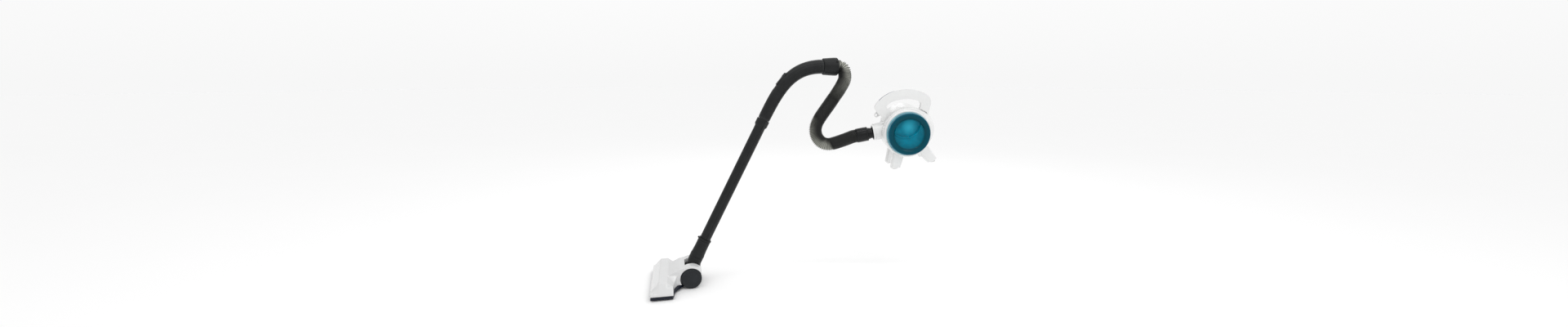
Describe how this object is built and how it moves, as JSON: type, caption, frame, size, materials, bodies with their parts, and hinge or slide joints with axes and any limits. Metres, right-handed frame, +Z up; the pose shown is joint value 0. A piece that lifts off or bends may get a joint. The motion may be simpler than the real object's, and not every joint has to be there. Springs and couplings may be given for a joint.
{
  "type": "canister vacuum cleaner",
  "caption": "Hand-carried canister vacuum cleaner: round see-through dust cup in a white housing, corrugated hose, bent grip, straight wand and swivelling floor head.",
  "frame": {"origin": "middle of the carry handle's grip, where a hand holds the cleaner up", "axes": "+X from the floor head towards the cleaner unit, +Y away from the dust cup's front, +Z up"},
  "size_m": [0.8753, 0.2738, 0.6808],
  "materials": {
    "white_plastic": "glossy moulded white plastic",
    "teal_clear": "tinted teal see-through plastic, glossy",
    "black_plastic": "satin black moulded plastic, fine grain",
    "slate_plastic": "matt slate plastic",
    "switch_blue": "dark blue satin plastic",
    "hose_plastic": "corrugated flexible plastic, dark grey",
    "rubber": "matt black rubber",
    "pad_rubber": "pale grey rubber",
    "steel": "plain steel",
    "filter_paper": "pleated filter fleece",
    "bristle": "dense nylon bristle strip"
  },
  "bodies": {
    "cleaner": {"front_housing": "white_plastic", "rear_housing": "white_plastic", "inlet_port": "white_plastic", "carry_handle": "white_plastic", "switch_contact": "black_plastic", "strap_lug": "white_plastic", "foot_front_left": "white_plastic", "foot_front_right": "white_plastic", "foot_rear_left": "white_plastic", "foot_rear_right": "white_plastic", "pad_front_left": "pad_rubber", "pad_front_right": "pad_rubber", "pad_rear_left": "pad_rubber", "pad_rear_right": "pad_rubber", "fan_shroud": "steel", "motor_can": "steel", "motor_end_cap": "black_plastic", "front_bearing": "steel", "rear_bearing": "steel", "motor_mount": "rubber", "exhaust_grille": "white_plastic", "exhaust_filter": "filter_paper", "grille_screw_left": "steel", "grille_screw_right": "steel", "cord_inlet": "rubber", "hose": "hose_plastic", "hose_port_cuff": "black_plastic", "hose_collar": "black_plastic"},
    "filter_unit": {"filter_frame": "black_plastic", "pleated_filter": "filter_paper", "filter_cap": "black_plastic", "cup_seal": "rubber"},
    "dust_cup": {"dust_cup": "teal_clear", "cup_grip_rib": "teal_clear"},
    "fan": {"fan_impeller": "steel", "rotor_shaft": "steel", "motor_armature": "steel"},
    "power_switch": {"power_switch": "switch_blue"},
    "wand": {"swivel_sleeve": "black_plastic", "grip_tube": "black_plastic", "sleeve_screw_top": "black_plastic", "sleeve_screw_bottom": "black_plastic", "wand_tube": "black_plastic", "wand_collar": "black_plastic", "wand_cuff": "black_plastic"},
    "suction_slider": {"suction_slider": "black_plastic"},
    "elbow": {"elbow": "black_plastic"},
    "floor_head": {"head_cover": "white_plastic", "head_base": "slate_plastic", "front_bristle": "bristle", "rear_bristle": "bristle", "axle_left": "steel", "axle_right": "steel"},
    "wheel_left": {"wheel_left": "slate_plastic"},
    "wheel_right": {"wheel_right": "slate_plastic"}
  },
  "joints": [
    {"name": "hose_swivel", "type": "hinge", "parent": "cleaner", "child": "wand", "pos_m": [-0.18589, 0.05002, 0.0819], "axis": [0.9781, 0.2079, 0], "continuous": true},
    {"name": "head_swivel", "type": "hinge", "parent": "wand", "child": "elbow", "pos_m": [-0.6149, -0.04117, -0.4895], "axis": [0.4441, 0.0944, 0.891], "range_deg": [-90, 90]},
    {"name": "head_pitch", "type": "hinge", "parent": "elbow", "child": "floor_head", "pos_m": [-0.6329, -0.045, -0.5409], "axis": [-0.2079, 0.9781, 0], "range_deg": [-50, 10]},
    {"name": "wheel_left_spin", "type": "hinge", "parent": "floor_head", "child": "wheel_left", "pos_m": [-0.6329, -0.045, -0.5409], "axis": [-0.2079, 0.9781, 0], "continuous": true},
    {"name": "wheel_right_spin", "type": "hinge", "parent": "floor_head", "child": "wheel_right", "pos_m": [-0.6329, -0.045, -0.5409], "axis": [-0.2079, 0.9781, 0], "continuous": true},
    {"name": "dust_cup_pull", "type": "slide", "parent": "cleaner", "child": "filter_unit", "axis": [0, -1, 0], "range_m": [0, 0.055]},
    {"name": "dust_cup_twist", "type": "hinge", "parent": "filter_unit", "child": "dust_cup", "pos_m": [0.0112, -0.06, -0.1099], "axis": [0, -1, 0], "range_deg": [0, 25]},
    {"name": "fan_spin", "type": "hinge", "parent": "cleaner", "child": "fan", "pos_m": [0.0316, 0, -0.11001], "axis": [0, -1, 0], "continuous": true},
    {"name": "power_switch_press", "type": "slide", "parent": "cleaner", "child": "power_switch", "axis": [0.5446, 0, -0.8387], "range_m": [0, 0.0022], "stiffness_N_per_m": 600, "springref_m": -0.002},
    {"name": "suction_slider_slide", "type": "slide", "parent": "wand", "child": "suction_slider", "axis": [-0.6481, -0.1378, -0.749], "range_m": [0, 0.016]}
  ]
}
